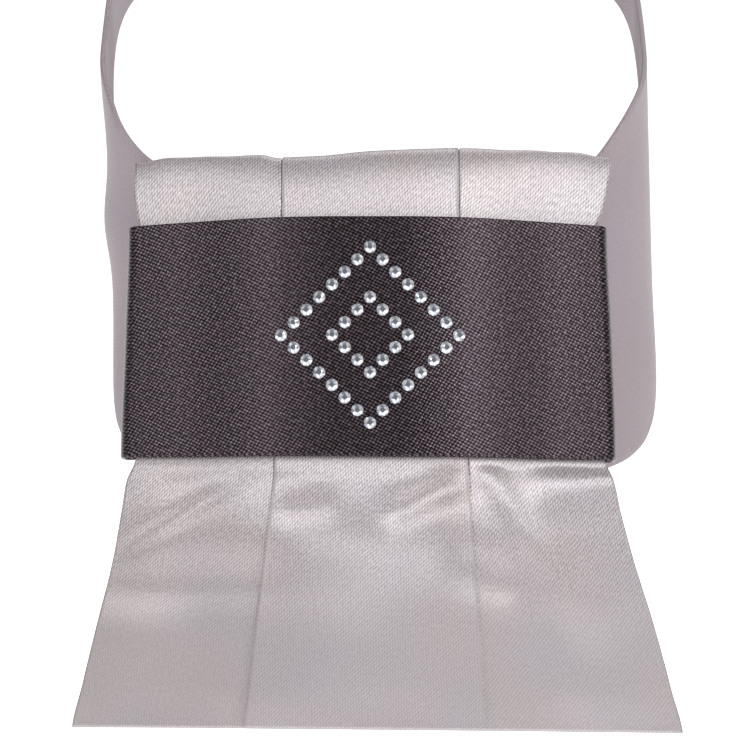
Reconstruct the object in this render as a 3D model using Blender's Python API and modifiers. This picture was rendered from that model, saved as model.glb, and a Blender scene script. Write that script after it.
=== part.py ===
"""Neck stock: a pleated satin front held by a wide black band on a satin neck strap.

The stock is modelled as it is worn. +Z is up, +X is the viewer's right when they face
the wearer, and the front looks along -Y. The origin is the middle of the neck opening.
Sizes below are in millimetres and degrees; MM turns them into metres.
"""

import math

import bmesh
import bpy
import numpy as np
from mathutils import Matrix, Vector

MM = 0.001


def table(columns, *rows):
    """Short hand-made table: a dictionary of columns, one row for each section or fold."""
    return dict(zip(columns.split(), np.array(rows, float).T))


# Neck strap: one folded strip of satin round the neck, fastened behind
STRAP_HALF_WIDTH = 61.6
STRAP_HALF_DEPTH = 54.6
STRAP_SQUARENESS = 2.9
STRAP_WALL = 1.2
STRAP_SIDE_SHIFT = 2.2
STRAP_SLANT = -0.034
STRAP_ALONG = 82
STRAP_ACROSS = 6
# angle is measured from the front; top_in and bottom_out lean the strip like the front piece
STRAP = table(
    "angle  top   bottom  top_in  bottom_out",
    (0, 4.0, -52.0, 11.9, 9.0),
    (30, 7.8, -52.2, 12.2, 7.0),
    (50, 12.0, -52.0, 8.4, 2.5),
    (60, 16.0, -51.2, 6.0, 0.6),
    (70, 23.8, -49.5, 2.4, -0.5),
    (90, 33.5, -26.0, 0.0, 0.0),
    (97, 37.5, 6.0, 0.0, 0.0),
    (104, 43.0, 25.5, 0.0, 0.0),
    (112, 50.5, 34.5, 0.0, 0.0),
    (122, 58.0, 40.0, 0.0, 0.0),
    (135, 64.0, 44.0, 0.0, 0.0),
    (155, 69.0, 47.5, 0.0, 0.0),
    (180, 71.0, 49.0, 0.0, 0.0),
)
# soft bulges of the strip where it turns round the sides of the neck
STRAP_BULGES = table(
    "angle  height  spread_angle  spread_height  out",
    (-88, 30, 16, 12, 0.7),
    (-62, 20, 12, 12, 1.6),
    (66, 21, 12, 12, -1.2),
    (-84, -5, 16, 9, 1.4),
    (-70, -46, 20, 20, 1.5),
    (-62, -26, 9, 14, -0.5),
    (74, -38, 14, 14, 0.8),
    (62, -6, 8, 26, -0.6),
)

# Overlap behind the neck, with one plain fastening pad between the two ends
INNER_END = -190.0
OUTER_END = 196.0
LAP_START = 150.0
LAP_FULL = 167.0
PAD_THICK = 1.2
PAD_ANGLES = (172.5, 187.5)
PAD_HALF_HEIGHT = 10.5
GAP = 0.3

# Front piece: a curved plane that leans back; q runs up it, x across it, d out of it
FRONT_Y = -63.6
FRONT_Z = -17.4
FRONT_LEAN = 21.0
HEM_LEAN = 18.0
FLAT_HALF = 8.0
SAG_AT = 53.0
SAG = 12.0
SAG_POWER = 1.6

# Black cross band: a flat sleeve round the pleated front
BAND_TOP = 26.3
BAND_BOTTOM = -26.8
BAND_WALL = 1.0
BAND_CORNER_DROP = 0.4
BAND_CORNER_LIFT = 0.8
BAND_TILT = 0.3
BAND_EDGES = table(
    "q  left  right",
    (-26.8, -55.4, 54.7),
    (0.0, -54.6, 53.9),
    (26.3, -53.9, 52.8),
)
BAND_STEP_END = 42.0
BAND_FOLD = 1.1
BAND_ACROSS = 28

# Pleated front: one length of satin, box-pleated, turned over at the top
CLOTH = 1.0
PLEAT_GAP = 0.3
PLEAT_STEP = CLOTH + PLEAT_GAP
TUCK = 11.0
# The turned-over top bends back as a quarter ellipse, then falls behind to the sleeve
ROLL_START = 18.0
ROLL_RISE = 20.2
ROLL_BACK = 4.2
ROLL_OVER = 0.9
ROLL_FALL = 6.0
LAYERS_APART = 3.2
TURNED_END = -22.0
# levels at which the cloth's section is placed, closest together below the band
FRONT_LEVELS = (-81, -75, -68, -61, -55, -50, -46, -42, -38.5, -35.5, -32.5, -30, -27.4, -25.2, 0)
HEM = -86.2
HEM_SLOPE = -0.010
HEM_CORNER_DROP = 0.25
FRONT_EDGES = table(
    "q  left_edge  left_pleat  right_pleat  right_edge",
    (-88.0, -66.2, -27.2, 25.2, 69.6),
    (-76.0, -63.6, -25.9, 24.4, 66.7),
    (-62.0, -60.2, -24.4, 23.6, 62.8),
    (-48.0, -56.8, -22.7, 22.6, 58.3),
    (-38.0, -55.0, -21.6, 22.0, 55.5),
    (-31.0, -53.9, -20.8, 21.5, 53.9),
    (-27.0, -52.2, -20.7, 21.2, 52.2),
    (-25.4, -51.8, -20.6, 21.1, 51.6),
    (25.6, -51.4, -19.3, 19.5, 50.3),
    (29.0, -52.0, -19.2, 19.4, 51.8),
    (33.0, -52.6, -19.2, 19.4, 53.0),
    (40.0, -52.3, -19.2, 19.3, 54.0),
)
# how far the roll's top line stands above or below its path, across the front
ROLL_TOPS = table(
    "x  lift",
    (-52, 2.3),
    (-45, 3.15),
    (-38, 2.8),
    (-30, 1.4),
    (-24, 0.5),
    (-20, -0.6),
    (-12, -0.48),
    (0, 0.62),
    (10, 1.07),
    (20, 1.6),
    (29, 2.6),
    (38, 4.15),
    (46, 4.4),
    (52, 3.7),
)
# how far each panel swells out of the pressed cloth, at levels up the front
PUFF = table(
    "level  side  centre",
    (-88, 0.9, 0.7),
    (-76, 1.6, 1.5),
    (-66, 1.7, 1.8),
    (-57, 1.5, 1.7),
    (-50, 2.1, 1.6),
    (-43, 2.7, 1.3),
    (-38, 2.4, 1.3),
    (-32.5, 1.4, 0.9),
    (-27.4, 0.0, 0.0),
    (102, 0.0, 0.0),
)
# share of a side panel's swell left at its outer edge, and the share of its width over which
# the swell fades in from there
OUTER_SWELL = 0.55
OUTER_FADE = 0.3
# the side panels' swell turns into the centre panel's over this width inside the pleat line
CENTRE_BLEND = 10.0
# a side panel stays flat this far from the pleat line, and rises within the next stretch
PLEAT_CLEAR = 1.95
PLEAT_DROP = 3.0
# share of the step up to the centre panel that a side panel takes up beside the pleat
SIDE_RISE = 0.9
# the folds start this far below the band and reach their height over the next stretch
FOLD_START = 0.6
FOLD_RISE = 3.0
# pinched folds that fan out from the band, and softer hollows below them: from one end to the
# other, in x and level
FOLDS = table(
    "x_from  q_from  x_to  q_to  half_width  height",
    (-56, -29, -46, -27, 2.5, 0.6),
    (-54, -46, -31, -33, 2.4, -1.0),
    (-62, -53.5, -22, -53.5, 6.0, -1.0),
    (-20, -39, -8, -37, 3.2, -0.8),
    (4, -39.5, 20, -32, 3.6, -1.7),
    (24.5, -27, 37, -48, 2.6, 0.8),
    (19, -50, 32, -54, 5.0, -0.8),
    (38, -32, 58, -30.5, 5.5, 1.5),
    (39, -52, 53, -92, 7.0, 1.2),
    (-1, -52, 0, -92, 13.0, 1.3),
)

# Crystals: flat-backed cut glass in two nested lozenges on the band
STONE_RADIUS = 1.365
STONE_HEIGHT = 1.05
STONE_RIM = 0.35
STONE_TABLE = 0.42
STONE_SIDES = 8
LOZENGES = table(
    "half_diagonal  stones_a_side",
    (19.4, 7),
    (8.3, 3),
)


def through_rows(keys, values, at):
    """Smooth curve through a table's rows: cubic between rows, with no overshoot past them.

    The slope at a row is the harmonic mean of the slopes beside it, or level at a turn.
    """
    steps = np.diff(values) / np.diff(keys)
    before, after = steps[:-1], steps[1:]
    same_way = before * after > 0
    total = np.where(same_way, before + after, 1.0)
    slopes = np.concatenate([[0.0], np.where(same_way, 2 * before * after / total, 0.0), [0.0]])
    at = np.clip(np.asarray(at, float), keys[0], keys[-1])
    row = np.clip(np.searchsorted(keys, at) - 1, 0, len(keys) - 2)
    span = keys[row + 1] - keys[row]
    t = (at - keys[row]) / span
    start = (2 * t**3 - 3 * t**2 + 1) * values[row] + (t**3 - 2 * t**2 + t) * span * slopes[row]
    end = (3 * t**2 - 2 * t**3) * values[row + 1] + (t**3 - t**2) * span * slopes[row + 1]
    return start + end


def ease(t):
    """Rise from 0 to 1 that starts and ends level."""
    t = np.clip(t, 0.0, 1.0)
    return t * t * (3 - 2 * t)


def strap_point(angle, side, out):
    """Point of the neck strap: side is -1 at its lower edge and 1 at its upper edge.

    The plan is a superellipse with half-axes grown by out, less the lean at that side.
    """
    bend = np.where(np.abs(angle) > 180, 360 - np.abs(angle), np.abs(angle))
    top, bottom, top_in, bottom_out = (
        through_rows(STRAP["angle"], STRAP[name], bend)
        for name in ("top", "bottom", "top_in", "bottom_out")
    )
    z = (top + bottom) / 2 + side * (top - bottom) / 2
    grow = out - (1 + side) / 2 * top_in + (1 - side) / 2 * bottom_out
    for at, height, wide, tall, bulge in zip(*STRAP_BULGES.values()):
        grow = grow + bulge * np.exp(-(((angle - at) / wide) ** 2) - ((z - height) / tall) ** 2)
    turn = np.radians(angle)
    power = STRAP_SQUARENESS
    across = (np.abs(np.sin(turn)) / (STRAP_HALF_WIDTH + grow)) ** power
    along = (np.abs(np.cos(turn)) / (STRAP_HALF_DEPTH + grow)) ** power
    radius = (across + along) ** (-1 / power)
    x = radius * np.sin(turn) + STRAP_SIDE_SHIFT + STRAP_SLANT * z
    return np.stack(np.broadcast_arrays(x, -radius * np.cos(turn), z), axis=-1)


def sag(x):
    """How far the front piece falls back towards the neck, away from its flat middle."""
    beyond = np.maximum(np.abs(x) - FLAT_HALF, 0) / (SAG_AT - FLAT_HALF)
    return SAG * beyond**SAG_POWER


def front_point(x, q, d):
    """Point of the front piece: straight and leaning behind the band, an arc below it."""
    lean = math.radians(FRONT_LEAN)
    arc = (BAND_BOTTOM - HEM) / (lean - math.radians(HEM_LEAN))
    below = np.maximum(BAND_BOTTOM - q, 0)
    straight = np.maximum(q, BAND_BOTTOM)
    tilt = lean - below / arc
    y = FRONT_Y + straight * math.sin(lean) - arc * (np.cos(tilt) - math.cos(lean))
    z = FRONT_Z + straight * math.cos(lean) - arc * (math.sin(lean) - np.sin(tilt))
    out = d - sag(x)
    points = (x, y - out * np.cos(tilt), z + out * np.sin(tilt))
    return np.stack(np.broadcast_arrays(*points), axis=-1)


def grid_mesh(name, points, around=False):
    """Mesh of quads over a grid of points; around joins the last column to the first."""
    rows, columns = points.shape[:2]
    index = np.arange(rows * columns).reshape(rows, columns)
    if around:
        index = np.hstack([index, index[:, :1]])
    quads = np.stack([index[:-1, :-1], index[:-1, 1:], index[1:, 1:], index[1:, :-1]], axis=-1)
    mesh = bpy.data.meshes.new(name)
    mesh.from_pydata((points.reshape(-1, 3) * MM).tolist(), [], quads.reshape(-1, 4).tolist())
    mesh.shade_smooth()
    return mesh


def add_part(name, mesh, material, wall=None):
    """Object for one piece of the stock, with its wall thickness in millimetres if it has one."""
    part = bpy.data.objects.new(name, mesh)
    mesh.materials.append(material)
    STOCK.objects.link(part)
    if wall:
        solidify = part.modifiers.new("Wall", "SOLIDIFY")
        solidify.thickness = wall * MM
        solidify.offset = 0.0
    return part


def make_material(name, colour, roughness, metallic=0.0, transmission=0.0):
    """Plain surface for one kind of material."""
    material = bpy.data.materials.new(name)
    material.use_nodes = True
    shader = material.node_tree.nodes["Principled BSDF"]
    shader.inputs["Base Color"].default_value = (*colour, 1.0)
    shader.inputs["Roughness"].default_value = roughness
    shader.inputs["Metallic"].default_value = metallic
    shader.inputs["Transmission Weight"].default_value = transmission
    material.diffuse_color = (*colour, 1.0)
    return material


def build_neck_strap(material):
    """Strip round the neck; its outer end steps out over its inner end behind."""
    angle = np.linspace(INNER_END, OUTER_END, STRAP_ALONG)[:, None]
    side = np.linspace(-1, 1, STRAP_ACROSS)[None, :]
    lap = STRAP_WALL + GAP + PAD_THICK + GAP
    out = lap * ease((angle - LAP_START) / (LAP_FULL - LAP_START))
    mesh = grid_mesh("neck_strap", strap_point(angle, side, out))
    return add_part("neck_strap", mesh, material, STRAP_WALL)


def build_closure_pad(material):
    """Hook-and-loop pad between the overlapping ends."""
    angle = np.linspace(*PAD_ANGLES, 7)[:, None]
    half_strip = (STRAP["top"][-1] - STRAP["bottom"][-1]) / 2
    side = np.array([-1, 0, 1])[None, :] * PAD_HALF_HEIGHT / half_strip
    out = STRAP_WALL / 2 + GAP + PAD_THICK / 2
    mesh = grid_mesh("closure_pad", strap_point(angle, side, out))
    return add_part("closure_pad", mesh, material, PAD_THICK)


def pleat_section():
    """Cross-section of the pleated cloth, left to right.

    Each point has: panel (0 left, 1 centre, 2 right), place across that panel from 0 to 1,
    shift from the pleat line in millimetres, and height above the side panels.
    """
    fold = np.radians([-60, 0, 60])
    side = [(0, t, 0.0, 0.0) for t in np.linspace(0, 0.88, 8)]
    side += [(0, 1.0, -PLEAT_CLEAR, 0.0), (0, 1.0, 0.0, 0.0)]
    inner_fold = [
        (0, 1.0, TUCK + PLEAT_STEP / 2 * math.cos(a), PLEAT_STEP / 2 * (1 + math.sin(a)))
        for a in fold
    ]
    outer_fold = [
        (0, 1.0, -PLEAT_STEP / 2 * math.cos(a), PLEAT_STEP / 2 * (3 + math.sin(a)))
        for a in fold
    ]
    under = [(0, 1.0, TUCK * t, 0.0) for t in (0.25, 0.5, 0.75)]
    middle = [(0, 1.0, TUCK * t, PLEAT_STEP) for t in (0.75, 0.5, 0.25)]
    left = side + under + inner_fold + middle + outer_fold
    centre = [(1, t, 0.0, 2 * PLEAT_STEP) for t in np.linspace(0.03, 0.97, 15)]
    right = [(2, t, -shift, height) for _, t, shift, height in reversed(left)]
    return np.array(left + centre + right)


def roll_path():
    """Stations of the cloth: up the front from the hem, over the roll, down behind the band.

    Each has: level along the cloth, q and d of the base line, and the turn of its outward side,
    which is square to the line.
    """
    straight = np.array([HEM, *FRONT_LEVELS])
    rise = np.radians([0, 15, 25, 35, 45, 55, 65, 76, 90])
    fall = np.radians([112, 138, 180])
    down = np.array([29.5, BAND_TOP + 1, 0, TURNED_END])
    fall_start = ROLL_START + ROLL_RISE - ROLL_FALL
    forward = ease((fall_start - down) / (fall_start - BAND_TOP - 1))
    back = ROLL_BACK + ROLL_OVER
    q_parts = (straight, ROLL_START + ROLL_RISE * np.sin(rise),
               fall_start + ROLL_FALL * np.sin(fall), down)
    d_parts = (0 * straight, ROLL_BACK * (np.cos(rise) - 1),
               ROLL_OVER * np.cos(fall) - ROLL_BACK, (back - LAYERS_APART) * forward - back)
    q, d = np.concatenate(q_parts), np.concatenate(d_parts)
    turn = np.unwrap(np.arctan2(-np.gradient(d), np.gradient(q)))
    run = np.hypot(np.diff(q + PLEAT_STEP * np.sin(turn)), np.diff(d + PLEAT_STEP * np.cos(turn)))
    level = HEM + np.concatenate([[0.0], np.cumsum(run)])
    return np.stack([level, q, d, turn], axis=1)


def fold_height(x, q):
    """Sum of the pinched folds: each is a ridge or valley along a line, fading at its ends."""
    total = np.zeros(np.broadcast(x, q).shape)
    for x_from, q_from, x_to, q_to, half_width, height in zip(*FOLDS.values()):
        along = np.array([x_to - x_from, q_to - q_from])
        length = np.hypot(*along)
        along = along / length
        run = ((x - x_from) * along[0] + (q - q_from) * along[1]) / length
        off = (x - x_from) * along[1] - (q - q_from) * along[0]
        ends = ease((run + 0.25) / 0.5) * ease((1.25 - run) / 0.5)
        total = total + height * ends * np.exp(-((off / half_width) ** 2))
    return total


def swell_height(panel, place, shift, level, width):
    """How far the cloth swells: a side panel's swell, blending into the centre's past the pleat.

    width is the centre panel's; the layers tucked under it swell by the same amount as it does.
    """
    side, centre = (through_rows(PUFF["level"], PUFF[name], level) for name in ("side", "centre"))
    tucked = np.maximum(np.where(panel == 0, shift, -shift), 0.0)
    inside = np.where(panel == 1, np.minimum(place, 1 - place) * width, tucked)
    crown = OUTER_SWELL + (1 - OUTER_SWELL) * ease(place / OUTER_FADE)
    outer = np.where(panel == 1, side, side * crown)
    return outer + (centre - side) * ease(inside / CENTRE_BLEND)


def bib_point(section, station):
    """Point of the pleated cloth for arrays of section points and stations."""
    panel, place, shift, height = np.moveaxis(section, -1, 0)
    level, q, d, turn = np.moveaxis(station, -1, 0)
    edges = {name: through_rows(FRONT_EDGES["q"], FRONT_EDGES[name], q) for name in FRONT_EDGES}
    left, right = edges["left_pleat"], edges["right_pleat"]
    starts = (edges["left_edge"], left, edges["right_edge"])
    ends = (left, right, right)
    start = np.select([panel == 0, panel == 1], starts[:2], starts[2])
    end = np.select([panel == 0, panel == 1], ends[:2], ends[2])
    x = start + (end - start) * place + shift
    folds = fold_height(x, level) * ease((BAND_BOTTOM - level - FOLD_START) / FOLD_RISE)
    swell = swell_height(panel, place, shift, level, right - left) + folds
    above_band = np.clip((q - BAND_TOP) / (ROLL_START + ROLL_RISE - BAND_TOP), 0.0, 1.0)
    q = q + through_rows(ROLL_TOPS["x"], ROLL_TOPS["lift"], x) * above_band
    outside = (height == 0) & (np.abs(x) > np.abs(end))
    drop = outside * ease((np.abs(end - x) - PLEAT_CLEAR) / PLEAT_DROP)
    flush = SIDE_RISE * 2 * PLEAT_STEP * sleeve_rise(x) * ease(2 - 2 * turn / math.pi)
    out = height + swell + np.where(panel == 1, 0.0, flush * drop)
    corner = HEM_SLOPE * x - HEM_CORNER_DROP * (x / SAG_AT) ** 2
    hem = corner * ease((BAND_BOTTOM - q) / (BAND_BOTTOM - HEM))
    return front_point(x, q + hem + out * np.sin(turn), d + out * np.cos(turn))


def build_pleated_front(material):
    """Box-pleated cloth: the section is carried along the path over the roll."""
    section = pleat_section()[None, :, :]
    station = roll_path()[:, None, :]
    mesh = grid_mesh("pleated_front", bib_point(section, station))
    return add_part("pleated_front", mesh, material, CLOTH)


def sleeve_rise(x):
    """How much of the pleats' height the band lies on: all over the centre, none at its sides."""
    return ease((BAND_STEP_END - np.abs(x)) / (BAND_STEP_END - FRONT_EDGES["right_pleat"][-1]))


def band_front(x):
    """Height of the band's middle line: it lies on the centre pleat and slopes off beside it."""
    return CLOTH / 2 + GAP + BAND_WALL / 2 + 2 * PLEAT_STEP * sleeve_rise(x)


def build_black_band(material):
    """Sleeve: front wall, rounded side fold, back wall and the other side fold."""
    q = np.array([BAND_BOTTOM, -20, -8, 4, 16, 23, BAND_TOP])[:, None]
    left, right = (through_rows(BAND_EDGES["q"], BAND_EDGES[name], q) for name in ("left", "right"))
    back_base = -LAYERS_APART
    radius = (band_front(SAG_AT) * 2 - back_base) / 2
    fold = np.linspace(0, math.pi, 8)[None, 1:-1]
    across = np.linspace(-1, 1, BAND_ACROSS)[None, :]
    flat = (right - left) / 2 - BAND_FOLD - BAND_WALL / 2
    middle = (right + left) / 2
    front_x = middle + flat * across
    right_x = middle + flat + BAND_FOLD * np.sin(fold)
    left_x = middle - flat - BAND_FOLD * np.sin(fold)
    centre = back_base / 2
    side_d = np.broadcast_to(centre + radius * np.cos(fold), right_x.shape)
    back_x = front_x[:, ::-1]
    x = np.hstack([front_x, right_x, back_x, left_x])
    d = np.hstack([band_front(front_x), side_d, back_base - band_front(back_x), side_d[:, ::-1]])
    aside = x / SAG_AT
    drop = BAND_CORNER_DROP * aside**4 * (q == BAND_TOP)
    lift = (BAND_CORNER_LIFT * aside**2 - BAND_TILT * aside) * (q == BAND_BOTTOM)
    mesh = grid_mesh("black_band", front_point(x, q - drop + lift, d), around=True)
    return add_part("black_band", mesh, material, BAND_WALL)


def stone_mesh():
    """Flat-backed cut stone: base, low rim, a ring of crown facets and a flat table."""
    turn = np.linspace(0, 2 * math.pi, STONE_SIDES, endpoint=False)
    half_step = math.pi / STONE_SIDES
    rings = (
        (STONE_RADIUS, 0.0, 0.0),
        (STONE_RADIUS, STONE_RIM, 0.0),
        (STONE_RADIUS * STONE_TABLE, STONE_HEIGHT, half_step),
    )
    build = bmesh.new()
    loops = []
    for radius, height, start in rings:
        ring = [(radius * math.cos(a + start), radius * math.sin(a + start), height) for a in turn]
        loops.append([build.verts.new(Vector(point) * MM) for point in ring])
    base, rim, top = loops
    build.faces.new(base[::-1])
    build.faces.new(top)
    for i in range(STONE_SIDES):
        j = (i + 1) % STONE_SIDES
        build.faces.new((base[i], base[j], rim[j], rim[i]))
        build.faces.new((rim[i], rim[j], top[i]))
        build.faces.new((rim[j], top[j], top[i]))
    mesh = bpy.data.meshes.new("stone")
    build.to_mesh(mesh)
    build.free()
    return mesh


def stone_places():
    """Places of the crystals: even steps along the four sides of each lozenge."""
    places = []
    for half, count in zip(*LOZENGES.values()):
        corners = [(half, 0), (0, half), (-half, 0), (0, -half)]
        for (x0, q0), (x1, q1) in zip(corners, corners[1:] + corners[:1]):
            for step in range(int(count)):
                t = step / count
                places.append((x0 + (x1 - x0) * t, q0 + (q1 - q0) * t))
    return places


def build_stones(material):
    """One object for each crystal, seated square on the band's front."""
    mesh = stone_mesh()
    mesh.materials.append(material)
    reach = 0.5
    seat = BAND_WALL / 2 + GAP
    for number, (x, q) in enumerate(stone_places(), start=1):
        def surface(dx, dq):
            return Vector(front_point(x + dx, q + dq, band_front(x + dx)))
        across = (surface(reach, 0) - surface(-reach, 0)).normalized()
        up = (surface(0, reach) - surface(0, -reach)).normalized()
        out = across.cross(up).normalized()
        turned = Matrix((across, out.cross(across), out)).transposed().to_4x4()
        stone = bpy.data.objects.new(f"stone_{number:02d}", mesh)
        stone.matrix_world = Matrix.Translation((surface(0, 0) + out * seat) * MM) @ turned
        STOCK.objects.link(stone)


for old in list(bpy.data.objects):
    bpy.data.objects.remove(old, do_unlink=True)
STOCK = bpy.data.collections.new("neck_stock")
bpy.context.scene.collection.children.link(STOCK)

grey_satin = make_material("grey_satin", (0.52, 0.48, 0.52), 0.38)
black_satin = make_material("black_satin", (0.022, 0.018, 0.022), 0.42)
crystal = make_material("cut_crystal", (0.86, 0.88, 0.92), 0.05, transmission=0.5)
pad_weave = make_material("hook_and_loop", (0.42, 0.39, 0.42), 0.9)

build_neck_strap(grey_satin)
build_closure_pad(pad_weave)
build_pleated_front(grey_satin)
build_black_band(black_satin)
build_stones(crystal)
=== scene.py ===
"""Looks of the neck stock: grey satin pleats, black satin band, crystals and neck strap.

The shapes repeat the formulas of the solid model in millimetres, on finer grids, so every
piece stands where its solid is. +Z is up, +X is the viewer's right, the front looks along -Y.
"""

import math

import bmesh
import bpy
import numpy as np
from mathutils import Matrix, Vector


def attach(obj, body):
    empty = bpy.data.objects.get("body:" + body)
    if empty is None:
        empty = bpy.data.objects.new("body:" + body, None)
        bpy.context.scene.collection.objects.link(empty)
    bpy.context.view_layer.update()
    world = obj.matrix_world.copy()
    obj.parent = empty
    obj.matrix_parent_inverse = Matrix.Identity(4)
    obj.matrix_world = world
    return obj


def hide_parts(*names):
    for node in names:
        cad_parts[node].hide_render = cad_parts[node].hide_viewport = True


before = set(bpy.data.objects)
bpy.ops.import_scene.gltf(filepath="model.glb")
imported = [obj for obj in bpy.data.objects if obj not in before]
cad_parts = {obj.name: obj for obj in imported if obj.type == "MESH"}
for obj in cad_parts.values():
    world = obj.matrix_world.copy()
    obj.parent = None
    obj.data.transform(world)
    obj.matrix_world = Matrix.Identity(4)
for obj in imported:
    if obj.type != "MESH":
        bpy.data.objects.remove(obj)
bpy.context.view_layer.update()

MM = 0.001


def table(columns, *rows):
    """Short table: a dictionary of columns, one row for each section or fold."""
    return dict(zip(columns.split(), np.array(rows, float).T))


# Neck strap: one folded strip of satin round the neck, fastened behind
STRAP_HALF_WIDTH = 61.6
STRAP_HALF_DEPTH = 54.6
STRAP_SQUARENESS = 2.9
STRAP_WALL = 1.2
STRAP_SIDE_SHIFT = 2.2
STRAP_SLANT = -0.034
# angle is measured from the front; top_in and bottom_out lean the strip like the front piece
STRAP = table(
    "angle  top   bottom  top_in  bottom_out",
    (0, 4.0, -52.0, 11.9, 9.0),
    (30, 7.8, -52.2, 12.2, 7.0),
    (50, 12.0, -52.0, 8.4, 2.5),
    (60, 16.0, -51.2, 6.0, 0.6),
    (70, 23.8, -49.5, 2.4, -0.5),
    (90, 33.5, -26.0, 0.0, 0.0),
    (97, 37.5, 6.0, 0.0, 0.0),
    (104, 43.0, 25.5, 0.0, 0.0),
    (112, 50.5, 34.5, 0.0, 0.0),
    (122, 58.0, 40.0, 0.0, 0.0),
    (135, 64.0, 44.0, 0.0, 0.0),
    (155, 69.0, 47.5, 0.0, 0.0),
    (180, 71.0, 49.0, 0.0, 0.0),
)
# soft bulges of the strip where it turns round the sides of the neck
STRAP_BULGES = table(
    "angle  height  spread_angle  spread_height  out",
    (-88, 30, 16, 12, 0.7),
    (-62, 20, 12, 12, 1.6),
    (66, 21, 12, 12, -1.2),
    (-84, -5, 16, 9, 1.4),
    (-70, -46, 20, 20, 1.5),
    (-62, -26, 9, 14, -0.5),
    (74, -38, 14, 14, 0.8),
    (62, -6, 8, 26, -0.6),
)

# Overlap behind the neck, with one fastening pad between the two ends
INNER_END = -190.0
OUTER_END = 196.0
LAP_START = 150.0
LAP_FULL = 167.0
PAD_THICK = 1.2
PAD_ANGLES = (172.5, 187.5)
PAD_HALF_HEIGHT = 10.5
GAP = 0.3
# the ends of the strap and of the pad round off over these angles
STRAP_END_ROUND = 0.9
PAD_END_ROUND = 0.6
# mean radius round the neck, which turns angles into lengths of strap and of pad
STRAP_RADIUS = 60.0
PAD_RADIUS = 55.0

# Front piece: a curved plane that leans back; q runs up it, x across it, d out of it
FRONT_Y = -63.6
FRONT_Z = -17.4
FRONT_LEAN = 21.0
HEM_LEAN = 18.0
FLAT_HALF = 8.0
SAG_AT = 53.0
SAG = 12.0
SAG_POWER = 1.6

# Black cross band: a flat sleeve round the pleated front
BAND_TOP = 26.3
BAND_BOTTOM = -26.8
BAND_WALL = 1.0
BAND_CORNER_DROP = 0.4
BAND_CORNER_LIFT = 0.8
BAND_TILT = 0.3
BAND_EDGES = table(
    "q  left  right",
    (-26.8, -55.4, 54.7),
    (0.0, -54.6, 53.9),
    (26.3, -53.9, 52.8),
)
BAND_STEP_END = 42.0
BAND_FOLD = 1.1

# Pleated front: one length of satin, box-pleated, turned over at the top
CLOTH = 1.0
PLEAT_GAP = 0.3
PLEAT_STEP = CLOTH + PLEAT_GAP
TUCK = 11.0
# The cloth is shown thinner than its solid and keeps the solid's outer face
CLOTH_SHOWN = 0.3
STEP_SHOWN = 0.32
FOLD_REACH = 0.1
# The turned-over top bends back as a quarter ellipse, then falls behind to the sleeve
ROLL_START = 18.0
ROLL_RISE = 20.2
ROLL_BACK = 4.2
ROLL_OVER = 0.9
ROLL_FALL = 6.0
LAYERS_APART = 3.2
TURNED_END = -22.0
# behind, the cloth comes down close behind the front this far above the band
TURNED_CLEAR = 1.0
# the finely drawn, hanging part of the cloth reaches this far up behind the band
BAND_REACH = 1.6
HEM = -86.2
HEM_SLOPE = -0.010
HEM_CORNER_DROP = 0.25
FRONT_EDGES = table(
    "q  left_edge  left_pleat  right_pleat  right_edge",
    (-88.0, -66.2, -27.2, 25.2, 69.6),
    (-76.0, -63.6, -25.9, 24.4, 66.7),
    (-62.0, -60.2, -24.4, 23.6, 62.8),
    (-48.0, -56.8, -22.7, 22.6, 58.3),
    (-38.0, -55.0, -21.6, 22.0, 55.5),
    (-31.0, -53.9, -20.8, 21.5, 53.9),
    (-27.0, -52.2, -20.7, 21.2, 52.2),
    (-25.4, -51.8, -20.6, 21.1, 51.6),
    (25.6, -51.4, -19.3, 19.5, 50.3),
    (29.0, -52.0, -19.2, 19.4, 51.8),
    (33.0, -52.6, -19.2, 19.4, 53.0),
    (40.0, -52.3, -19.2, 19.3, 54.0),
)
# how far the roll's top line stands above or below its path, across the front
ROLL_TOPS = table(
    "x  lift",
    (-52, 2.3),
    (-45, 3.15),
    (-38, 2.8),
    (-30, 1.4),
    (-24, 0.5),
    (-20, -0.6),
    (-12, -0.48),
    (0, 0.62),
    (10, 1.07),
    (20, 1.6),
    (29, 2.6),
    (38, 4.15),
    (46, 4.4),
    (52, 3.7),
)
# how far each panel swells out of the pressed cloth, at levels up the front
PUFF = table(
    "level  side  centre",
    (-88, 0.9, 0.7),
    (-76, 1.6, 1.5),
    (-66, 1.7, 1.8),
    (-57, 1.5, 1.7),
    (-50, 2.1, 1.6),
    (-43, 2.7, 1.3),
    (-38, 2.4, 1.3),
    (-32.5, 1.4, 0.9),
    (-27.4, 0.0, 0.0),
    (102, 0.0, 0.0),
)
# share of a side panel's swell left at its outer edge, and the share of its width over which
# the swell fades in from there
OUTER_SWELL = 0.55
OUTER_FADE = 0.3
# the side panels' swell turns into the centre panel's over this width inside the pleat line
CENTRE_BLEND = 10.0
# a side panel lies this much lower than flush, and drops under the pleat's edge within this width
SIDE_LOWER = 0.15
PLEAT_DROP = 0.35
# the drop starts this far from the pleat's edge, in thicknesses of the cloth shown
PLEAT_EDGE = 0.6
# below the band it also sinks towards the edge by this much, over a wider stretch of its width,
# and the sinking sets in over this length
PLEAT_SINK = 0.4
PLEAT_SLOPE = 7.0
SINK_RISE = 8.0
# the grain of neighbouring panels is this far apart in the weave's pattern
GRAIN_SHIFT = 50.0
# the folds start this far below the band and reach their height over the next stretch
FOLD_START = 0.6
FOLD_RISE = 3.0
# share of a fold's length over which it fades, before and past each end of its line
FOLD_FADE = 0.25
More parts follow.
